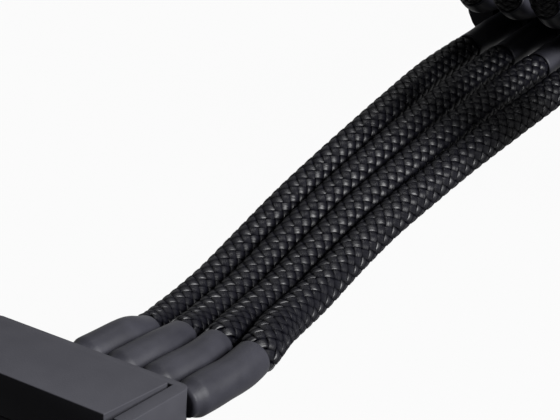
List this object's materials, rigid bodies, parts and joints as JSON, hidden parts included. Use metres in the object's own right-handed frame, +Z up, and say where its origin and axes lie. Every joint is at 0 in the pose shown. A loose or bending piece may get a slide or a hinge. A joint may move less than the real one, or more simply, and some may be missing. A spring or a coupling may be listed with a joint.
{
  "type": "drive power splitter cable",
  "caption": "Short splitter cable: a round-sided power plug with two flat rows of black braided wires, each row ending in a flat right-angle drive power connector.",
  "frame": {"origin": "middle of the plug housing's flat underside", "axes": "+Z up from that underside, +Y along the plug towards its mating end, +X across the pins"},
  "size_m": [0.0812, 0.1248, 0.0307],
  "materials": {
    "black_nylon": "fine satin moulding",
    "black_braid": "shiny woven filament braid",
    "black_heat_shrink": "soft matt heat-shrink",
    "tinned_brass": "tin plated"
  },
  "bodies": {
    "root": {"plug_housing": "black_nylon", "plug_pin_1": "tinned_brass", "plug_pin_2": "tinned_brass", "plug_pin_3": "tinned_brass", "plug_pin_4": "tinned_brass", "drive_a_housing": "black_nylon", "drive_a_cap": "black_nylon", "drive_a_contact_1": "tinned_brass", "drive_a_contact_2": "tinned_brass", "drive_a_contact_3": "tinned_brass", "drive_a_contact_4": "tinned_brass", "drive_b_housing": "black_nylon", "drive_b_cap": "black_nylon", "drive_b_contact_1": "tinned_brass", "drive_b_contact_2": "tinned_brass", "drive_b_contact_3": "tinned_brass", "drive_b_contact_4": "tinned_brass", "row_a_plug_shrink_1": "black_heat_shrink", "row_a_sleeved_wire_1": "black_braid", "row_a_drive_shrink_1": "black_heat_shrink", "row_a_plug_shrink_2": "black_heat_shrink", "row_a_sleeved_wire_2": "black_braid", "row_a_drive_shrink_2": "black_heat_shrink", "row_a_plug_shrink_3": "black_heat_shrink", "row_a_sleeved_wire_3": "black_braid", "row_a_drive_shrink_3": "black_heat_shrink", "row_a_plug_shrink_4": "black_heat_shrink", "row_a_sleeved_wire_4": "black_braid", "row_a_drive_shrink_4": "black_heat_shrink", "row_b_plug_shrink_1": "black_heat_shrink", "row_b_sleeved_wire_1": "black_braid", "row_b_drive_shrink_1": "black_heat_shrink", "row_b_plug_shrink_2": "black_heat_shrink", "row_b_sleeved_wire_2": "black_braid", "row_b_drive_shrink_2": "black_heat_shrink", "row_b_plug_shrink_3": "black_heat_shrink", "row_b_sleeved_wire_3": "black_braid", "row_b_drive_shrink_3": "black_heat_shrink", "row_b_plug_shrink_4": "black_heat_shrink", "row_b_sleeved_wire_4": "black_braid", "row_b_drive_shrink_4": "black_heat_shrink"}
  },
  "joints": []
}
